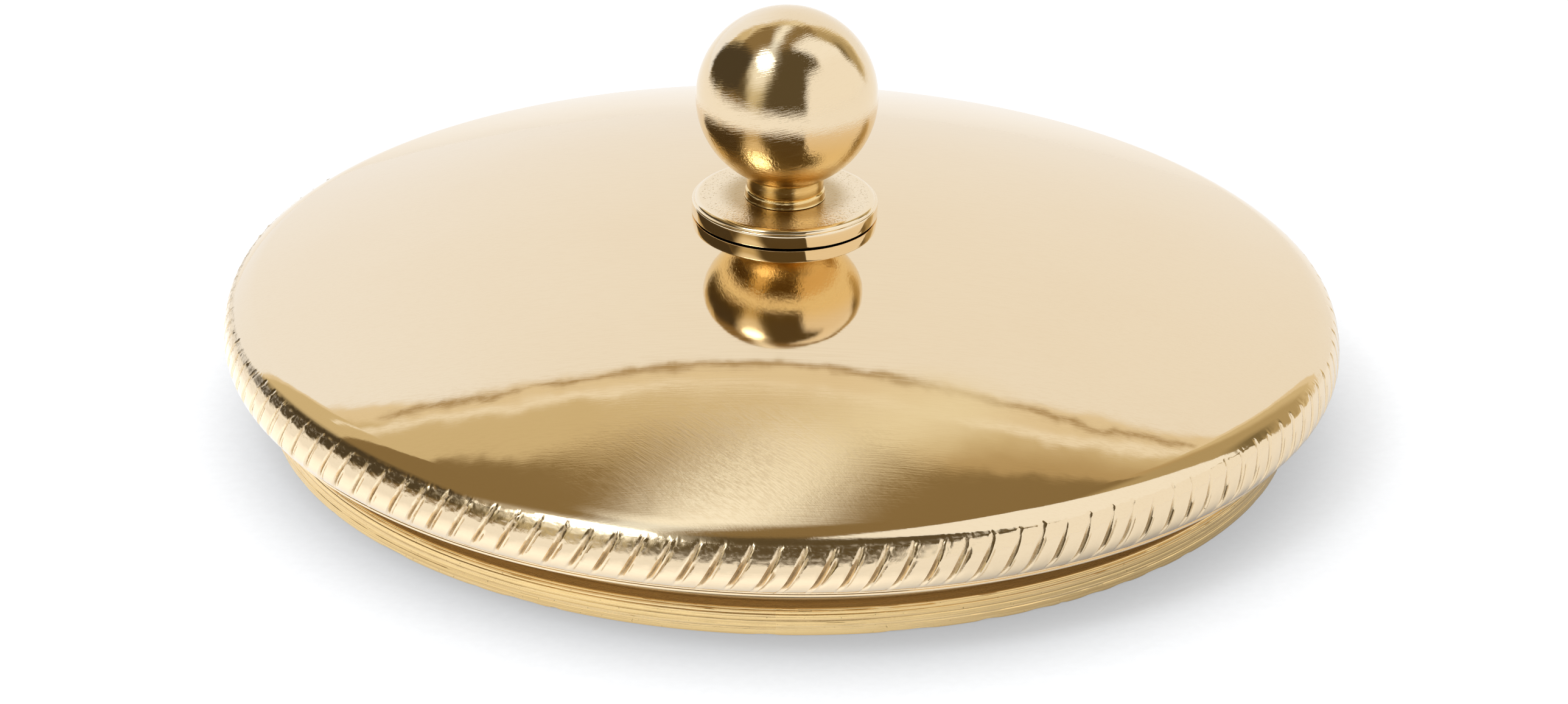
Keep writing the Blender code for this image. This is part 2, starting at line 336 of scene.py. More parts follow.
def cover_piece(material):
    """The cover as one closed shell: dome, notched rim, lip, flange and the inside of the dome."""
    rng = np.random.default_rng(11)
    shape = CoverShape()
    fine, offsets = notch_angles(rng)
    top_shift = notch_shift(0.0) / shape.rim
    coarse = fine[::STITCH]
    shares = np.linspace(0, 1, NOTCH_ROWS) ** 1.2
    height, bare = notch_relief(rng, shares, offsets)
    rings, marks = [], []

    def add(radius, level, angles, mark=0.0):
        rings.append(circle(radius, level, angles))
        marks.append(np.broadcast_to(mark, np.shape(angles)))

    hole_slope = math.asin(shape.hole / DOME_RADIUS)
    for slope in np.linspace(hole_slope, shape.tangent, 34):
        add(*shape.outer(slope), coarse + top_shift)
    for slope in np.linspace(shape.tangent, math.radians(36), 9)[1:]:
        add(*shape.outer(slope), coarse + top_shift)
    for slope in np.linspace(math.radians(37), BROW_END, 3)[:-1]:
        add(*shape.outer(slope), fine + top_shift)

    for row, share in enumerate(shares):
        radius, level, slope = shape.notched(share)
        lift = height[row].ravel()
        angles = fine + notch_shift(share) / shape.rim
        add(radius + lift * math.sin(slope), level + lift * math.cos(slope), angles, bare[row].ravel())

    lip = shape.rim - LIP_INSET - LIP_STEP
    bottom = shape.seat
    # The lip's edge: radius, and height above the seat in mm
    edge = [(lip + 0.02 * MM, 0.58), (lip, 0.52), (lip + 0.01 * MM, 0.40), (lip - 0.07 * MM, 0.35),
            (lip - 0.08 * MM, 0.31), (lip - 0.01 * MM, 0.27), (lip, 0.16), (lip - 0.05 * MM, 0.05),
            (lip - 0.18 * MM, 0.0)]
    for radius, above in edge:
        add(radius, bottom + above * MM, coarse)
    flange = shape.seat + FLANGE_THICKNESS
    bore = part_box("seating_ring")[1].x - RING_NECK_DEPTH + GAP
    inner_round = RIM_ROUND - WALL
    inside = [(lip - 2.0 * MM, bottom), (bore + 0.15 * MM, bottom), (bore, bottom + 0.15 * MM),
              (bore, flange - 0.15 * MM), (bore + 0.15 * MM, flange), (shape.rim - WALL - 0.2 * MM, flange)]
    inside += arc((shape.round_radius, shape.round_height), inner_round, UPRIGHT, shape.tangent, 8)
    inner_sphere = DOME_RADIUS - WALL
    hole = math.asin(shape.hole / inner_sphere)
    inside += arc((0.0, shape.centre), inner_sphere, shape.tangent, hole, 20)[1:]
    for radius, level in inside:
        add(radius, level, coarse)

    piece = turned_piece("cover_shell", rings, material, sharp_degrees=48)
    bareness = piece.data.attributes.new("bareness", "FLOAT", "POINT")
    bareness.data.foreach_set("value", np.concatenate(marks).astype(np.float32))
    return piece


# ---------------------------------------------------------------- seating ring

RING_COLUMNS = 720
RING_NECK_DEPTH = 2.0 * MM
RING_BAND = 3.3 * MM
RING_WALL = 4.5 * MM
RING_EDGE = 0.3 * MM
RING_NICKS = 46
DEEPEST_NICK = 0.26 * MM

# The cut lines round the ring: how far below the band's top and how deep, in mm. Four of them are browner.
RING_LINES = {0.31: 0.10, 0.46: 0.05, 0.78: 0.11, 1.02: 0.04, 1.45: 0.06, 1.95: 0.04, 2.25: 0.07}
BROWN_LINES = (0.31, 0.46, 0.78, 1.45)


def slow_noise(rng, columns, waves):
    """A smooth curve round the circle, about -1 to 1, from a few random waves."""
    angles = even_angles(columns)
    total = np.zeros(columns)
    for wave in range(1, waves + 1):
        total += rng.normal() * np.sin(wave * angles + rng.uniform(0, FULL_TURN)) / math.sqrt(wave)
    return total / max(1e-9, np.abs(total).max())


def ring_piece(material):
    """The ring's outer band keeps the lathe tool's lines, and its lower edge is nicked here and there."""
    rng = np.random.default_rng(23)
    _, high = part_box("seating_ring")
    outer, top = high.x, high.z
    neck = outer - RING_NECK_DEPTH
    bore = outer - RING_WALL
    angles = even_angles(RING_COLUMNS)
    rings = []

    def add(radius, level):
        rings.append(circle(radius, level, angles))

    for level in (top - 0.15 * MM, RING_BAND + 1.2 * MM, RING_BAND + 0.4 * MM):
        add(neck, level)
    add(neck + 0.06 * MM, RING_BAND + 0.12 * MM)
    add(neck + 0.3 * MM, RING_BAND)
    add(outer - 0.26 * MM, RING_BAND)
    add(outer - 0.10 * MM, RING_BAND - 0.06 * MM)

    levels = np.linspace(RING_BAND - 0.14 * MM, RING_EDGE, 46)
    tool = rng.uniform(-1, 0, len(levels)) * 0.020 * MM
    chatter = 0.006 * MM * rng.normal(0, 1, (len(levels), RING_COLUMNS))
    chatter = (chatter + np.roll(chatter, 1, 1) + np.roll(chatter, 2, 1) + np.roll(chatter, 3, 1)) / 2
    for row, level in enumerate(levels):
        depth = tool[row] * (1 + 0.6 * slow_noise(rng, RING_COLUMNS, 9))
        below_top = (RING_BAND - level) / MM
        for place, line_depth in RING_LINES.items():
            strength = 0.75 + 0.25 * slow_noise(rng, RING_COLUMNS, 5)
            depth = depth - line_depth * MM * strength * bell(below_top, place, 0.045)
        add(outer + np.minimum(depth + chatter[row], 0.0), level)

    nick = np.zeros(RING_COLUMNS)
    for place in rng.integers(0, RING_COLUMNS, RING_NICKS):
        size = rng.uniform(0.05, 0.22) * MM
        away = (np.arange(RING_COLUMNS) - place + RING_COLUMNS // 2) % RING_COLUMNS - RING_COLUMNS // 2
        nick += size * bell(away, 0, rng.uniform(0.6, 2.2))
    nick = np.minimum(nick, DEEPEST_NICK)
    add(outer - 0.04 * MM - 0.5 * nick, 0.20 * MM + 0.4 * nick)
    add(outer - 0.14 * MM - nick, 0.08 * MM + 0.6 * nick)
    add(outer - 0.34 * MM - nick, 0.0)
    add(bore + 0.3 * MM, 0.0)
    add(bore, 0.3 * MM)
    add(bore, top - 0.2 * MM)
    add(bore + 0.2 * MM, top)
    add(neck - 0.15 * MM, top)
    return turned_piece("turned_seating_ring", rings, material, sharp_degrees=60)


# ---------------------------------------------------------------- knob

BALL_NECK = 4.25 * MM
NECK_FILLET = 0.35 * MM

# The disc's edge, in mm inwards from its side and down from its top
DISC_EDGE = ((0.95, 0.0), (0.78, 0.01), (0.60, 0.05), (0.44, 0.12), (0.34, 0.20), (0.27, 0.30), (0.26, 0.38),
             (0.18, 0.40), (0.10, 0.42), (0.03, 0.48), (0.0, 0.56), (0.0, 0.8))


def knob_piece(material):
    """The ball with its short neck, bored for the stud."""
    low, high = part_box("knob_ball")
    radius = high.x
    centre = high.z - radius
    foot = low.z - 0.2 * MM
    hole = stud_hole()
    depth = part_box("knob_stud")[1].z + GAP
    join = math.pi - math.asin((BALL_NECK + NECK_FILLET) / radius)
    profile = arc((0.0, centre), radius, 0.0, join, 72)[1:]
    join_r, join_z = profile[-1]
    for share in (0.35, 0.7, 1.0):
        profile.append((join_r - NECK_FILLET * math.sin(share * UPRIGHT), join_z - 0.42 * MM * share**1.4))
    profile += [(BALL_NECK, foot + 0.9 * MM), (BALL_NECK, foot + 0.16 * MM),
                (BALL_NECK - 0.03 * MM, foot + 0.07 * MM), (BALL_NECK - 0.12 * MM, foot),
                (hole, foot), (hole, depth)]
    columns = 144
    top = [np.array([[0.0, 0.0, centre + radius]])]
    end = [np.array([[0.0, 0.0, depth]])]
    return turned_piece("ball_knob", top + rings_of(profile, columns) + end, material, closed=False)


def collar_piece(material):
    """Collar with a bright bevel at its top and a small round where it meets the disc."""
    low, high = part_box("knob_collar")
    radius, top = high.x, high.z
    bottom = low.z - 0.25 * MM
    hole = stud_hole()
    profile = [(hole, top + 0.08 * MM), (radius - 0.26 * MM, top + 0.08 * MM),
               (radius - 0.20 * MM, top + 0.06 * MM), (radius - 0.03 * MM, top - 0.10 * MM),
               (radius, top - 0.16 * MM), (radius, top - 0.45 * MM), (radius, bottom + 0.32 * MM)]
    profile += [(radius + 0.08 * MM * (1 - math.cos(a)), bottom + 0.02 * MM + 0.28 * MM * (1 - math.sin(a)))
                for a in np.linspace(0.0, UPRIGHT, 6)]
    profile += [(radius + 0.06 * MM, bottom), (hole, bottom)]
    return turned_piece("knob_foot_collar", rings_of(profile, 120), material)


def rosette_piece(material):
    """Disc under the knob: finely pitted on top, with a rounded edge above a fine step."""
    rng = np.random.default_rng(31)
    _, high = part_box("knob_rosette")
    radius, top = high.x, high.z
    hole = stud_hole()
    shape = CoverShape()
    columns = 240
    angles = even_angles(columns)
    rings = []
    for r in np.linspace(hole, radius - 1.05 * MM, 46):
        pits = -0.028 * MM * np.clip(rng.normal(0, 1, columns) - 0.9, 0, 2.2)
        worn = smooth_step(hole + 2.2 * MM, hole + 3.0 * MM, r)
        rings.append(circle(r, top + pits * worn, angles))
    edge = [(radius - inset * MM, top - drop * MM) for inset, drop in DISC_EDGE]
    dish = DOME_RADIUS + 0.12 * MM
    under = shape.centre + math.sqrt(dish**2 - radius**2)
    edge += [(radius, under + 0.10 * MM), (radius - 0.03 * MM, under + 0.04 * MM),
             (radius - 0.12 * MM, under + 0.01 * MM)]
    rings += [circle(r, z, angles) for r, z in edge]
    for r in np.linspace(radius - 0.7 * MM, hole, 10):
        rings.append(circle(r, shape.centre + math.sqrt(dish**2 - r**2), angles))
    return turned_piece("knob_disc", rings, material, sharp_degrees=34)


# ---------------------------------------------------------------- fixings

THREAD_PITCH = 0.8 * MM
THREAD_DEPTH = 0.42 * MM


def thread(angles, level, crest):
    """Radius of a right-hand V thread at this height, flattened at crest and root."""
    phase = (level / THREAD_PITCH - angles / FULL_TURN) % 1.0
    fall = np.clip(np.abs(2 * phase - 1) * 1.25 - 0.12, 0, 1)
    return crest - THREAD_DEPTH * fall


def stud_piece(material):
    """Threaded stud, tapered at both ends."""
    low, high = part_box("knob_stud")
    crest = high.x
    columns = 48
    angles = even_angles(columns)
    core = crest - THREAD_DEPTH - 0.1 * MM
    rings = [np.array([[0.0, 0.0, high.z]]), circle(core, high.z, angles)]
    for level in np.arange(high.z - 0.1 * MM, low.z + 0.1 * MM, -THREAD_PITCH / 8):
        ends = min(high.z - level, level - low.z)
        limit = core + ends
        rings.append(circle(np.minimum(thread(angles, level, crest), limit), level, angles))
    rings += [circle(core, low.z, angles), np.array([[0.0, 0.0, low.z]])]
    return turned_piece("threaded_stud", rings, material, closed=False, sharp_degrees=30)


def washer_piece(material):
    """Pressed washer, its corners a little rounded and its outline very slightly uneven."""
    low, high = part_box("backing_washer")
    hole = stud_hole()
    columns = 120
    angles = even_angles(columns)
    outline = rounded([(hole, high.z), (high.x, high.z), (high.x, low.z), (hole, low.z)], 0.18 * MM)
    wave = 0.012 * MM * np.sin(3 * angles + 0.7)
    rings = [circle(r - np.abs(wave), z, angles) for r, z in outline]
    return turned_piece("plain_washer", rings, material, sharp_degrees=40)


def spring_washer_piece(material):
    """Square-section ring with one slanting split at the front, its two ends a little out of line."""
    low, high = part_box("spring_washer")
    hole = stud_hole()
    outer, middle = high.x, (low.z + high.z) / 2
    half_gap = 0.5 * MM
    thickness = high.z - low.z
    outline = rounded([(hole, high.z), (outer, high.z), (outer, low.z), (hole, low.z)], 0.12 * MM, 2)
    radii = np.array([r for r, _ in outline])
    levels = np.array([z for _, z in outline])
    slant = math.tan(math.radians(30))
    steps = 132
    start = (half_gap + slant * (levels - middle)) / radii
    end = FULL_TURN + (-half_gap + slant * (levels - middle)) / radii
    points = []
    for step in range(steps + 1):
        share = step / steps
        angle = start + (end - start) * share
        lift = 0.04 * thickness * (0.5 - share)
        level = middle + (levels - middle) * 0.92 + lift
        points.append(np.stack([radii * np.sin(angle), -radii * np.cos(angle), level], -1))
    count = len(outline)
    faces = []
    for step in range(steps):
        for k in range(count):
            m = (k + 1) % count
            here, there = step * count, (step + 1) * count
            faces.append((here + k, here + m, there + m, there + k))
    faces.append(tuple(range(count))[::-1])
    faces.append(tuple(steps * count + k for k in range(count)))
    return make_piece("split_spring_washer", np.concatenate(points), faces, material, 40)


def nut_piece(material):
    """Hexagonal nut: chamfered corners, a countersunk mouth at each face, and a thread inside."""
    low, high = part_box("hex_nut")
    flat = min(high.x, high.y)
    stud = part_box("knob_stud")[1].x
    columns = 120
    angles = even_angles(columns)
    turn = 0.0 if high.y < high.x else math.pi / 6
    across = (angles + UPRIGHT + turn) % (math.pi / 3) - math.pi / 6
    hexagon = flat / np.cos(across)
    rings = []
    slope = math.tan(math.radians(30))

    def side(level):
        inset = min(high.z - level, level - low.z)
        return np.minimum(hexagon, flat - 0.1 * MM + inset / slope)

    mouth = stud + GAP + 0.12 * MM
    rings.append(circle(mouth, high.z, angles))
    for inset in (0.0, 0.06, 0.14, 0.24, 0.36, 0.6):
        rings.append(circle(side(high.z - inset * MM), high.z - inset * MM, angles))
    for inset in (0.6, 0.36, 0.24, 0.14, 0.06, 0.0):
        rings.append(circle(side(low.z + inset * MM), low.z + inset * MM, angles))
    rings.append(circle(mouth, low.z, angles))
    for level in np.arange(low.z + 0.3 * MM, high.z - 0.25 * MM, THREAD_PITCH / 6):
        rings.append(circle(thread(angles, level, stud + GAP) + 0.05 * MM, level, angles))
    return turned_piece("hexagon_nut", rings, material, sharp_degrees=30)


# ---------------------------------------------------------------- shader tools

class Graph:
    """Short calls for building a node tree. A value may be a number, a colour or another node's output."""

    def __init__(self, tree):
        self.tree = tree
        self.nodes = tree.nodes
        self.links = tree.links

    def node(self, kind, settings=None, **values):
        node = self.nodes.new(kind)
        for name, value in (settings or {}).items():
            setattr(node, name, value)
        for name, value in values.items():
            self.put(node.inputs[name], value)
        return node

    def put(self, socket, value):
        if isinstance(value, bpy.types.NodeSocket):
            self.links.new(value, socket)
        elif value is not None:
            socket.default_value = value

    def math(self, operation, first, second=None):
        node = self.node("ShaderNodeMath", {"operation": operation})
        self.put(node.inputs[0], first)
        self.put(node.inputs[1], second)
        return node.outputs[0]

    def times(self, first, second):
        return self.math("MULTIPLY", first, second)

    def plus(self, first, second):
        return self.math("ADD", first, second)

    def minus(self, first, second):
        return self.math("SUBTRACT", first, second)

    def vector(self, operation, first, second=None, scale=None):
        node = self.node("ShaderNodeVectorMath", {"operation": operation})
        self.put(node.inputs[0], first)
        self.put(node.inputs[1], second)
        if scale is not None:
            self.put(node.inputs["Scale"], scale)
        return node.outputs["Value" if operation in ("DOT_PRODUCT", "LENGTH") else "Vector"]

    def spread(self, value, low, high, to_low=0.0, to_high=1.0, smooth=True):
        kind = "SMOOTHSTEP" if smooth else "LINEAR"
        node = self.node("ShaderNodeMapRange", {"interpolation_type": kind})
        for name, number in (("From Min", low), ("From Max", high), ("To Min", to_low), ("To Max", to_high)):
            self.put(node.inputs[name], number)
        self.put(node.inputs["Value"], value)
        return node.outputs["Result"]

    def blend(self, share, first, second):
        """Mixes two colours."""
        node = self.node("ShaderNodeMix", {"data_type": "RGBA"})
        self.put(node.inputs["Factor"], share)
        self.put(node.inputs[6], self.colour(first))
        self.put(node.inputs[7], self.colour(second))
        return node.outputs[2]

    @staticmethod
    def colour(value):
        return (*value, 1.0) if isinstance(value, tuple) and len(value) == 3 else value

    def noise(self, place, scale, detail=2.0, roughness=0.5):
        node = self.node("ShaderNodeTexNoise", Vector=place, Scale=scale, Detail=detail, Roughness=roughness)
        return node.outputs["Fac"]

    def stretched(self, place, along, across, detail=2.0, roughness=0.5):
        """Noise drawn out along X: so many marks per mm along, and across."""
        scaled = self.vector("MULTIPLY", place, (along, across, across))
        return self.noise(scaled, 1.0, detail, roughness)

    def place_mm(self):
        """The point in the object's own frame, in millimetres."""
        where = self.node("ShaderNodeTexCoord").outputs["Object"]
        return self.vector("SCALE", where, scale=1 / MM)

    def apart(self, vector):
        return self.node("ShaderNodeSeparateXYZ", Vector=vector).outputs

    def together(self, x, y, z):
        return self.node("ShaderNodeCombineXYZ", X=x, Y=y, Z=z).outputs[0]

    def bump(self, height, strength, distance, normal=None):
        node = self.node("ShaderNodeBump", Height=height, Strength=strength, Distance=distance)
        self.put(node.inputs["Normal"], normal)
        return node.outputs["Normal"]


def new_material(name):
    """A metal with its Principled shader: (material, graph, shader)."""
    material = bpy.data.materials.new(name)
    material.use_nodes = True
    graph = Graph(material.node_tree)
    shader = material.node_tree.nodes["Principled BSDF"]
    shader.inputs["Metallic"].default_value = 1.0
    return material, graph, shader


ROUND_RADIUS = 50.0


def round_axis(graph, place):
    """Coordinates that follow a turned surface: way round at ROUND_RADIUS, distance from the axis, height."""
    x, y, z = graph.apart(place)
    angle = graph.math("ARCTAN2", x, y)
    squares = graph.plus(graph.times(x, x), graph.times(y, y))
    return graph.together(graph.times(angle, ROUND_RADIUS), graph.math("SQRT", squares), z)


# ---------------------------------------------------------------- materials

# The patch in front that was rubbed slantwise, in mm
RUBBED_CENTRE = (-4.0, -50.0, 12.0)
RUBBED_SCALE = (1 / 21, 1 / 14, 0.0)

# Where a finish or a painted shade gives way to the next one: heights, and on the disc distances from the axis,
# in mm
LIP_TOP = (7.12, 6.95)
GROOVE_SHADE_FOOT = (3.2, 3.5)
RING_FOOT_TOP = (0.45, 0.1)
BALL_TURNS_UNDER = (37.0, 33.0)
NECK_TOP = (28.2, 29.2)
FLAT_TOP = (9.0, 9.5)
COLLAR_SHADE_REACH = (8.0, 5.2)


def cover_material():
    """Hand-polished brass: long fine marks from side to side, a patch in front rubbed slantwise, faint cloudy
    tarnish, and browner, duller torn metal in the notches."""
    material, g, shader = new_material("polished_cover_brass")
    place = g.place_mm()
    _, _, z = g.apart(place)
    from_patch = g.vector("SUBTRACT", place, RUBBED_CENTRE)
    rubbed = g.spread(g.vector("LENGTH", g.vector("MULTIPLY", from_patch, RUBBED_SCALE)), 1.2, 0.1)
    bare = g.node("ShaderNodeAttribute", {"attribute_name": "bareness"}).outputs["Fac"]

    turned_place = g.node("ShaderNodeVectorRotate", {"rotation_type": "Z_AXIS"}, Vector=place,
                          Angle=math.radians(44)).outputs[0]
    level = g.stretched(place, 0.06, 5.0, 3.0, 0.65)
    slanting = g.stretched(turned_place, 0.05, 4.2, 3.0, 0.70)
    marks = g.plus(g.times(level, g.minus(1.0, rubbed)), g.times(slanting, rubbed))
    cloud = g.spread(g.noise(place, 0.055, 4.0, 0.55), 0.40, 0.75)
    colour = g.blend(g.times(cloud, 0.10), POLISHED_BRASS, CLOUDED_BRASS)
    streak = g.times(g.spread(marks, 0.45, 0.62), g.plus(0.12, g.times(rubbed, 0.30)))
    colour = g.blend(streak, colour, STREAKED_BRASS)
    lip = g.spread(z, *LIP_TOP)
    colour = g.blend(g.times(lip, 0.2), colour, LIP_BRASS)
    torn = g.noise(place, 6.0, 3.0, 0.6)
    worn = g.spread(bare, 0.30, 0.70)
    colour = g.blend(g.times(worn, g.spread(torn, 0.30, 0.62, 0.35, 0.85)), colour, TARNISH)
    g.put(shader.inputs["Base Color"], colour)

    rough = g.plus(0.02, g.times(g.spread(marks, 0.35, 0.75), 0.03))
    rough = g.plus(rough, g.times(rubbed, g.spread(slanting, 0.35, 0.65, 0.08, 0.18)))
    rough = g.plus(rough, g.times(bare, 0.50))
    g.put(shader.inputs["Roughness"], rough)
    g.put(shader.inputs["Metallic"], g.minus(1.0, g.times(worn, 0.45)))
    shader.inputs["Anisotropic"].default_value = 0.9
    smear = g.blend(rubbed, (0.0, 1.0, 0.0), (0.69, 0.72, 0.0))
    g.put(shader.inputs["Tangent"], smear)

    dents = g.noise(place, 0.09, 2.0, 0.5)
    normal = g.bump(dents, 0.03, 0.0012)
    depth = g.plus(0.009, g.times(rubbed, 0.38))
    normal = g.bump(marks, depth, 0.00005, normal)
    grain = g.noise(place, 9.0, 3.0, 0.6)
    normal = g.bump(grain, g.times(bare, 0.6), 0.00006, normal)
    g.put(shader.inputs["Normal"], normal)
    return material


def ring_material():
    """Turned brass: fine unbroken lathe lines, warmer than the polished cover, browner in the lines, with
    painted shade in the recess under the cover's lip.
    """
    material, g, shader = new_material("turned_ring_brass")
    place = g.place_mm()
    around = round_axis(g, place)
    _, _, z = g.apart(place)
    lines = g.noise(g.vector("MULTIPLY", around, (0.02, 7.0, 9.0)), 1.0, 4.0, 0.7)
    broad = g.noise(g.vector("MULTIPLY", around, (0.03, 1.6, 2.2)), 1.0, 3.0, 0.6)
    colour = g.blend(g.spread(lines, 0.50, 0.60, 0.0, 0.55), TURNED_BRASS, TOOL_LINE)
    colour = g.blend(g.spread(broad, 0.45, 0.70, 0.0, 0.35), colour, PALE_LINE)
    pits = g.noise(place, 3.5, 2.0, 0.5)
    colour = g.blend(g.spread(pits, 0.70, 0.76, 0.0, 0.7), colour, DARK_PIT)
    # Painted shade: the recessed neck above the band, under the cover's lip, is darkened and greyed
    colour = g.blend(g.times(g.spread(z, *GROOVE_SHADE_FOOT), 0.85), colour, GROOVE_PAINTED_SHADE)
    strength = g.spread(broad, 0.35, 0.60, 0.25, 0.75)
    for below_top in BROWN_LINES:
        away = g.math("ABSOLUTE", g.minus(z, RING_BAND / MM - below_top))
        nearby = g.spread(away, 0.07, 0.02)
        colour = g.blend(g.times(nearby, strength), colour, BROWN_LINE)
    colour = g.blend(g.spread(z, *RING_FOOT_TOP, 0.0, 0.6), colour, RING_FOOT)
    g.put(shader.inputs["Base Color"], colour)
    g.put(shader.inputs["Roughness"], g.spread(lines, 0.3, 0.7, 0.20, 0.36))
    shader.inputs["Anisotropic"].default_value = 0.6
    level_tangent = g.vector("CROSS_PRODUCT", place, (0.0, 0.0, 1.0))
    g.put(shader.inputs["Tangent"], g.vector("CROSS_PRODUCT", level_tangent, place))
    normal = g.bump(lines, 0.35, 0.00005)
    normal = g.bump(pits, 0.2, 0.00004, normal)
    g.put(shader.inputs["Normal"], normal)
    return material


def knob_material():
    """Bright polished brass with fine swirls, deeper gold and grainier where the ball turns under."""
    material, g, shader = new_material("polished_knob_brass")
    place = g.place_mm()
    _, _, z = g.apart(place)
    under = g.times(g.spread(z, *BALL_TURNS_UNDER), g.spread(z, *NECK_TOP))
    tilted = g.node("ShaderNodeVectorRotate", {"rotation_type": "EULER_XYZ"}, Vector=place,
                    Rotation=(0.15, 0.25, 0.3)).outputs[0]
    swirls = g.noise(g.vector("MULTIPLY", tilted, (0.25, 1.2, 9.0)), 1.0, 3.0, 0.6)
    grain = g.noise(place, 5.0, 3.0, 0.65)
    colour = g.blend(g.spread(z, *BALL_TURNS_UNDER, 0.0, 0.8), POLISHED_BRASS, BALL_UNDERSIDE)
    colour = g.blend(g.spread(swirls, 0.45, 0.75, 0.0, 0.10), colour, BALL_SWIRL)
    g.put(shader.inputs["Base Color"], colour)
    rough = g.plus(0.055, g.times(under, 0.05))
    rough = g.plus(rough, g.times(g.spread(swirls, 0.4, 0.75), 0.06))
    g.put(shader.inputs["Roughness"], rough)
    normal = g.bump(g.noise(place, 0.35, 2.0, 0.5), 0.06, 0.0008)
    normal = g.bump(swirls, 0.35, 0.00004, normal)
    pebbles = g.noise(place, 2.6, 2.0, 0.5)
    normal = g.bump(pebbles, g.times(under, 0.5), 0.00006, normal)
    normal = g.bump(grain, g.times(under, 0.4), 0.00004, normal)
    g.put(shader.inputs["Normal"], normal)
    return material


def rosette_material():
    """Satin brass disc, finely pitted and speckled on top, with painted shade by the collar, bright round its
    edge.
    """
    material, g, shader = new_material("satin_rosette_brass")
    place = g.place_mm()
    around = round_axis(g, place)
    _, radius, _ = g.apart(around)
    flat = g.spread(radius, *FLAT_TOP, 1.0, 0.0)
    pits = g.noise(place, 4.5, 3.0, 0.6)
    specks = g.times(g.spread(pits, 0.57, 0.67), flat)
    rings = g.noise(g.vector("MULTIPLY", around, (0.05, 6.0, 6.0)), 1.0, 3.0, 0.6)
    colour = g.blend(g.spread(rings, 0.4, 0.7, 0.0, 0.15), SATIN_BRASS, SATIN_LINE)
    # Painted shade: the disc darkens towards the collar, in the corner where the two meet
    colour = g.blend(g.spread(radius, *COLLAR_SHADE_REACH, 0.0, 0.9), colour, SATIN_PAINTED_SHADE_BY_COLLAR)
    colour = g.blend(g.times(specks, 0.75), colour, SATIN_SPECK)
    g.put(shader.inputs["Base Color"], colour)
    g.put(shader.inputs["Roughness"], g.plus(g.times(flat, 0.07), 0.05))
    normal = g.bump(pits, g.times(flat, 0.55), 0.00008)
    normal = g.bump(rings, 0.05, 0.00003, normal)
    g.put(shader.inputs["Normal"], normal)
    return material


def steel_material():
    """Zinc-plated steel: a mottled blue-grey film, duller in patches, with a fine grain."""
    material, g, shader = new_material("zinc_plated_steel")
    place = g.place_mm()
    mottle = g.noise(place, 0.9, 4.0, 0.6)
    grain = g.noise(place, 11.0, 2.0, 0.5)
    colour = g.blend(g.spread(mottle, 0.38, 0.66), ZINC, DULL_ZINC)
    colour = g.blend(g.spread(g.noise(place, 0.5, 2.0), 0.45, 0.7, 0.0, 0.25), colour, YELLOW_ZINC)
    g.put(shader.inputs["Base Color"], colour)
    g.put(shader.inputs["Roughness"], g.spread(mottle, 0.3, 0.7, 0.24, 0.42))
    g.put(shader.inputs["Normal"], g.bump(grain, 0.25, 0.00004))
    return material


# ---------------------------------------------------------------- studio

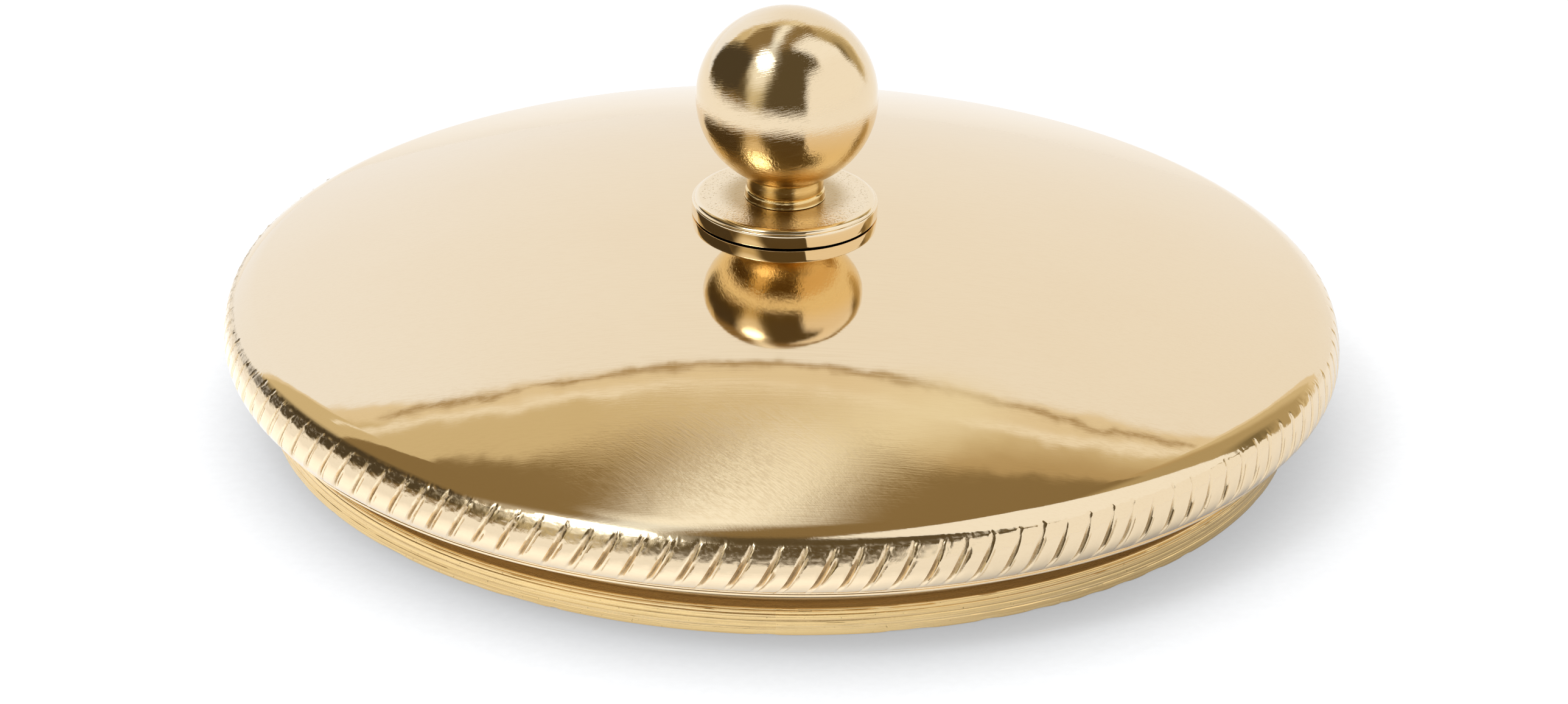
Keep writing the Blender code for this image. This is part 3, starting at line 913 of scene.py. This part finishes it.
# What the metal mirrors, laid out like a star chart: degrees from straight up, X to the right, Y to the back.
# A card is a convex outline given clockwise, a stroke is a line of points with a half width, and a shore is
# all that lies in front of a curve from left to right. Each has its name, its linear colour, how soft its
# edge is, how ragged, and its half width (0 where there is none), in degrees. Later ones lie over earlier.
STUDIO_WHITE = (0.97, 0.97, 0.98)
MAP = (
    ("card", "white on the left", (1.01, 1.06, 1.18), 18.0, 0.0, 0,
     ((-150, -150), (-150, 150), (-14, 150), (-14, -150))),
    ("shore", "cream", (0.86, 0.76, 0.57), 0.5, 0.5, 0,
     ((-95, 52), (-40, 49), (-23, 45.5), (-18, 43.2), (0, 43.8), (12, 42), (20, 42.5), (30, 47), (45, 58),
      (75, 60), (95, 50))),
    ("stroke", "seam", (0.46, 0.34, 0.18), 0.25, 0.9, 0.4,
     ((-21, 42.8), (-13, 42.6), (-8, 43.0), (0, 43.6), (5, 42.7), (10, 41.7), (17, 40.5), (22, 42))),
    ("shore", "gold", (0.71, 0.60, 0.38), 0.5, 0.8, 0,
     ((-95, 50), (-45, 48), (-30, 45.5), (-22, 42.5), (-19, 40.8), (-14, 40), (-6, 40.5), (0, 39.8),
      (8, 38.5), (15, 38.0), (22, 40.0), (30, 45), (45, 54), (75, 56), (95, 50))),
    ("card", "gold, right", (0.53, 0.40, 0.21), 2.0, 0.8, 0,
     ((6, 26), (9, 36.5), (15, 37), (46, 53), (72, 54), (85, 40), (60, 10))),
    ("stroke", "pale line", (0.98, 0.94, 0.84), 0.4, 0.8, 0.5,
     ((-33, 36.5), (-28, 39.5), (-24, 40.8), (-20, 41.2), (-15, 40.4), (-11, 40.6), (-6, 41.0), (-1, 40.3),
      (4, 39.6), (8, 38.9), (15, 38.4), (22, 40.4))),
    ("shore", "back dark", (0.280, 0.200, 0.092), 0.5, 0.8, 0,
     ((-95, 0), (-60, 18), (-45, 26), (-34, 31), (-25, 34.5), (-18, 36.0), (-15, 34.7), (-8, 33.9), (0, 33.5),
      (9, 32.6), (13, 33.4), (17, 34.5), (20, 34), (24, 31), (28, 27.5), (35, 22), (50, 9), (95, 0))),
    ("card", "left dark", (0.080, 0.062, 0.036), 4.0, 0.6, 0,
     ((-88, 27), (-78, 46), (-65, 56), (-53, 54), (-47, 42), (-36, -7), (-49, -20), (-74, -30), (-86, -8))),
    ("card", "right gold", (0.50, 0.40, 0.22), 3.0, 0.6, 0,
     ((24, 20), (24, 34), (47, 50), (70, 50), (78, 42), (54, 18))),
    ("stroke", "right dark", (0.23, 0.18, 0.092), 4.0, 0.6, 5.0,
     ((48, 33), (64, 26))),
    ("card", "front dark", (0.115, 0.088, 0.046), 3.0, 0.3, 0,
     ((4, -3), (45, -9), (44, -82), (20, -93), (-16, -92), (-44, -77), (-70, -46), (-78, -30), (-30, -14))),
    ("stroke", "front glow", (0.68, 0.60, 0.40), 9.0, 2.0, 15,
     ((-36, -32), (-44, -44), (-52, -56))),
    ("stroke", "lamp glow", (1.02, 1.02, 0.96), 8.0, 1.0, 13,
     ((-26, -14), (-35, -30), (-38, -36))),
    ("stroke", "light spill, far", (0.93, 0.88, 0.70), 3.0, 0.8, 2.5,
     ((-3, 28), (4, 35), (9, 40))),
    ("stroke", "light spill, near", (0.97, 1.03, 1.08), 3.5, 0.8, 4.0,
     ((-26, -13), (-15, -2), (-9, 10))),
    ("stroke", "light spill", (1.12, 1.15, 1.14), 4.0, 0.8, 4.5,
     ((-9, 12), (-6, 20), (-2, 28))),
    ("stroke", "light between the panels", (0.55, 0.44, 0.25), 2.5, 0.3, 2.0,
     ((33, -10.5), (40, -11))),
    ("card", "panel, near", (1.05, 1.07, 1.10), 0.5, 0.15, 0,
     ((3.3, -4.5), (17.8, 19.3), (51.6, 28.4), (60, -15.5))),
    ("card", "panel", (1.02, 1.02, 1.02), 0.5, 0.15, 0,
     ((25.8, -40.7), (39.2, -10.9), (53.9, 21.5), (75, 42), (120, 80), (120, -95), (41.4, -95))),
)
CHART_EDGE = 95.0

# The light on the floor leans to the back and left. The floor's own glow is given as the camera sees it, and
# as the metal mirrors it: far from the lid, and close to the lid on its left.
FLOOR_LIGHT = 1.26
FLOOR_LIGHT_LEAN = (-0.40, 0.80, 0.0)
FLOOR_GLOW = (0.41, 0.41, 0.41)
FLOOR_MIRRORED = (0.26, 0.26, 0.27)
FLOOR_SHEEN = (0.70, 0.72, 0.77)
FLOOR_PAPER = ((0.560, 0.562, 0.564), (0.580, 0.582, 0.584))

KEY_DIRECTION = Vector((-0.433, -0.289, 0.854))
KEY_DISTANCE = 0.75
KEY_ANGLE = math.radians(10)
KEY_RADIANCE = 4.0
KEY_COLOUR = (0.93, 1.0, 1.10)


def shore_mask(g, chart, points, soft):
    """1 in front of a curve given from left to right, 0 behind it."""
    x, y, _ = g.apart(chart)
    curve = g.node("ShaderNodeFloatCurve", Value=g.spread(x, -CHART_EDGE, CHART_EDGE, smooth=False))
    line = curve.mapping.curves[0]
    while len(line.points) < len(points):
        line.points.new(0.5, 0.5)
    for knot, (across, back) in zip(line.points, points):
        knot.location = ((across + CHART_EDGE) / (2 * CHART_EDGE), back / CHART_EDGE)
        knot.handle_type = "VECTOR"
    curve.mapping.update()
    limit = g.times(curve.outputs[0], CHART_EDGE)
    return g.spread(g.minus(limit, y), -soft, soft)


def card_mask(g, chart, corners, soft):
    """1 inside a convex outline given clockwise, 0 outside."""
    inside = None
    for k, here in enumerate(corners):
        there = corners[(k + 1) % len(corners)]
        run = Vector(there) - Vector(here)
        inward = Vector((run.y, -run.x)).normalized()
        reach = g.vector("DOT_PRODUCT", chart, (inward.x, inward.y, 0.0))
        reach = g.minus(reach, inward.dot(Vector(here)))
        inside = reach if inside is None else g.math("MINIMUM", inside, reach)
    return g.spread(inside, -soft, soft)


def stroke_mask(g, chart, points, half_width, soft):
    """1 along a line of points, 0 further from it than the half width."""
    nearest = None
    for here, there in zip(points, points[1:]):
        run = Vector((*there, 0.0)) - Vector((*here, 0.0))
        from_here = g.vector("SUBTRACT", chart, (*here, 0.0))
        share = g.vector("DOT_PRODUCT", from_here, tuple(run / run.length_squared))
        share = g.math("MINIMUM", g.math("MAXIMUM", share, 0.0), 1.0)
        foot = g.vector("SCALE", tuple(run), scale=share)
        distance = g.vector("LENGTH", g.vector("SUBTRACT", from_here, foot))
        nearest = distance if nearest is None else g.math("MINIMUM", nearest, distance)
    return g.spread(nearest, half_width + soft, half_width - soft)


def studio_world():
    """White for the camera, a light that leans to the back and left for the floor, a chart for the metal."""
    world = bpy.data.worlds.new("studio")
    bpy.context.scene.world = world
    world.use_nodes = True
    world.cycles.sampling_method = "NONE"
    tree = world.node_tree
    tree.nodes.clear()
    g = Graph(tree)
    direction = g.node("ShaderNodeTexCoord").outputs["Generated"]
    direction = g.vector("NORMALIZE", direction)
    x, y, z = g.apart(direction)
    from_top = g.times(g.math("ARCCOSINE", z), 180 / math.pi)
    flat = g.math("SQRT", g.plus(g.times(x, x), g.times(y, y)))
    spread = g.math("DIVIDE", from_top, g.math("MAXIMUM", flat, 1e-6))
    chart = g.vector("SCALE", g.together(x, y, 0.0), scale=spread)
    wobble = g.node("ShaderNodeTexNoise", Vector=chart, Scale=0.6, Detail=3.0, Roughness=0.6).outputs["Color"]
    wobble = g.vector("SUBTRACT", wobble, (0.5, 0.5, 0.5))
    colour = (*STUDIO_WHITE, 1.0)
    for kind, _, tone, soft, ragged, half_width, points in MAP:
        moved = g.vector("ADD", chart, g.vector("SCALE", wobble, scale=2 * ragged))
        if kind == "card":
            mask = card_mask(g, moved, points, soft)
        elif kind == "shore":
            mask = shore_mask(g, moved, points, soft)
        else:
            mask = stroke_mask(g, moved, points, half_width, soft)
        colour = g.blend(mask, colour, tone)
    path = g.node("ShaderNodeLightPath").outputs
    lean = g.vector("DOT_PRODUCT", direction, FLOOR_LIGHT_LEAN)
    leaning = g.times(g.plus(lean, 1.0), FLOOR_LIGHT)
    for_floor = g.vector("SCALE", (1.0, 1.0, 1.0), scale=leaning)
    colour = g.blend(path["Is Glossy Ray"], for_floor, colour)
    colour = g.blend(path["Is Camera Ray"], colour, (1.0, 1.0, 1.0))
    back = g.node("ShaderNodeBackground", Color=colour, Strength=1.0)
    out = g.node("ShaderNodeOutputWorld")
    g.links.new(back.outputs[0], out.inputs["Surface"])


def key_light():
    """A round soft light, high on the left of the camera."""
    radius = KEY_DISTANCE * math.tan(KEY_ANGLE)
    light = bpy.data.lights.new("key", "AREA")
    light.shape = "DISK"
    light.size = 2 * radius
    light.color = KEY_COLOUR
    light.energy = KEY_RADIANCE * math.pi * (math.pi * radius**2)
    lamp = bpy.data.objects.new("key", light)
    bpy.context.scene.collection.objects.link(lamp)
    middle = Vector((0.0, 0.0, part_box("knob_ball")[0].z))
    lamp.location = middle + KEY_DIRECTION.normalized() * KEY_DISTANCE
    lamp.rotation_euler = KEY_DIRECTION.to_track_quat("Z", "Y").to_euler()


def floor_material():
    """Matt white paper with a faint grain, which glows a little."""
    material = bpy.data.materials.new("floor_paper")
    material.use_nodes = True
    g = Graph(material.node_tree)
    shader = material.node_tree.nodes["Principled BSDF"]
    place = g.place_mm()
    grain = g.noise(place, 0.8, 3.0, 0.6)
    g.put(shader.inputs["Base Color"], g.blend(g.spread(grain, 0.3, 0.7), *FLOOR_PAPER))
    shader.inputs["Roughness"].default_value = 1.0
    shader.inputs["Specular IOR Level"].default_value = 0.0
    x, _, _ = g.apart(place)
    _, radius, _ = g.apart(round_axis(g, place))
    near = g.times(g.spread(x, 45.0, 0.0), g.spread(radius, 100.0, 66.0))
    mirrored = g.blend(near, FLOOR_MIRRORED, FLOOR_SHEEN)
    is_mirrored = g.node("ShaderNodeLightPath").outputs["Is Glossy Ray"]
    g.put(shader.inputs["Emission Color"], g.blend(is_mirrored, FLOOR_GLOW, mirrored))
    shader.inputs["Emission Strength"].default_value = 1.0
    return material


def floor_piece():
    """A wide level floor, a hair under the lid."""
    half = 3.0
    count = 24
    ticks = np.linspace(-half, half, count + 1)
    points = [(x, y, -0.02 * MM) for y in ticks for x in ticks]
    faces = []
    for row in range(count):
        for column in range(count):
            here = row * (count + 1) + column
            faces.append((here, here + 1, here + count + 2, here + count + 1))
    floor = make_piece("floor", points, faces, floor_material())


# Elevation and roll in radians, the distance in rim radii, the lens in mm
CAMERA_ELEVATION = 0.4429
CAMERA_DISTANCE = 14
CAMERA_LENS = 178.14
CAMERA_AIM = Vector((0.27 * MM, 0.0, 6.5 * MM))
CAMERA_ROLL = 0.0215


def camera():
    """A long lens at the photo's angle, fitted to the lid's outlines."""
    data = bpy.data.cameras.new("camera")
    data.sensor_width = 36.0
    data.lens = CAMERA_LENS
    data.clip_start = 0.01
    data.clip_end = 50.0
    eye = bpy.data.objects.new("camera", data)
    bpy.context.scene.collection.objects.link(eye)
    away = Vector((0.0, -math.cos(CAMERA_ELEVATION), math.sin(CAMERA_ELEVATION)))
    eye.location = away * CAMERA_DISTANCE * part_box("dome_cover")[1].x
    look = (CAMERA_AIM - eye.location).to_track_quat("-Z", "Y").to_matrix()
    eye.rotation_euler = (look @ Matrix.Rotation(CAMERA_ROLL, 3, "Z")).to_euler()
    bpy.context.scene.camera = eye


# ---------------------------------------------------------------- assembly

def add_piece(piece, node):
    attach(piece, "root")
    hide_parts(node)


camera()
studio_world()
key_light()
floor_piece()

knob_brass = knob_material()
steel = steel_material()
add_piece(cover_piece(cover_material()), "dome_cover")
add_piece(ring_piece(ring_material()), "seating_ring")
add_piece(knob_piece(knob_brass), "knob_ball")
add_piece(collar_piece(knob_brass), "knob_collar")
add_piece(rosette_piece(rosette_material()), "knob_rosette")
add_piece(stud_piece(steel), "knob_stud")
add_piece(washer_piece(steel), "backing_washer")
add_piece(spring_washer_piece(steel), "spring_washer")
add_piece(nut_piece(steel), "hex_nut")

bpy.context.scene.view_settings.view_transform = "Standard"
bpy.context.scene.cycles.caustics_reflective = False
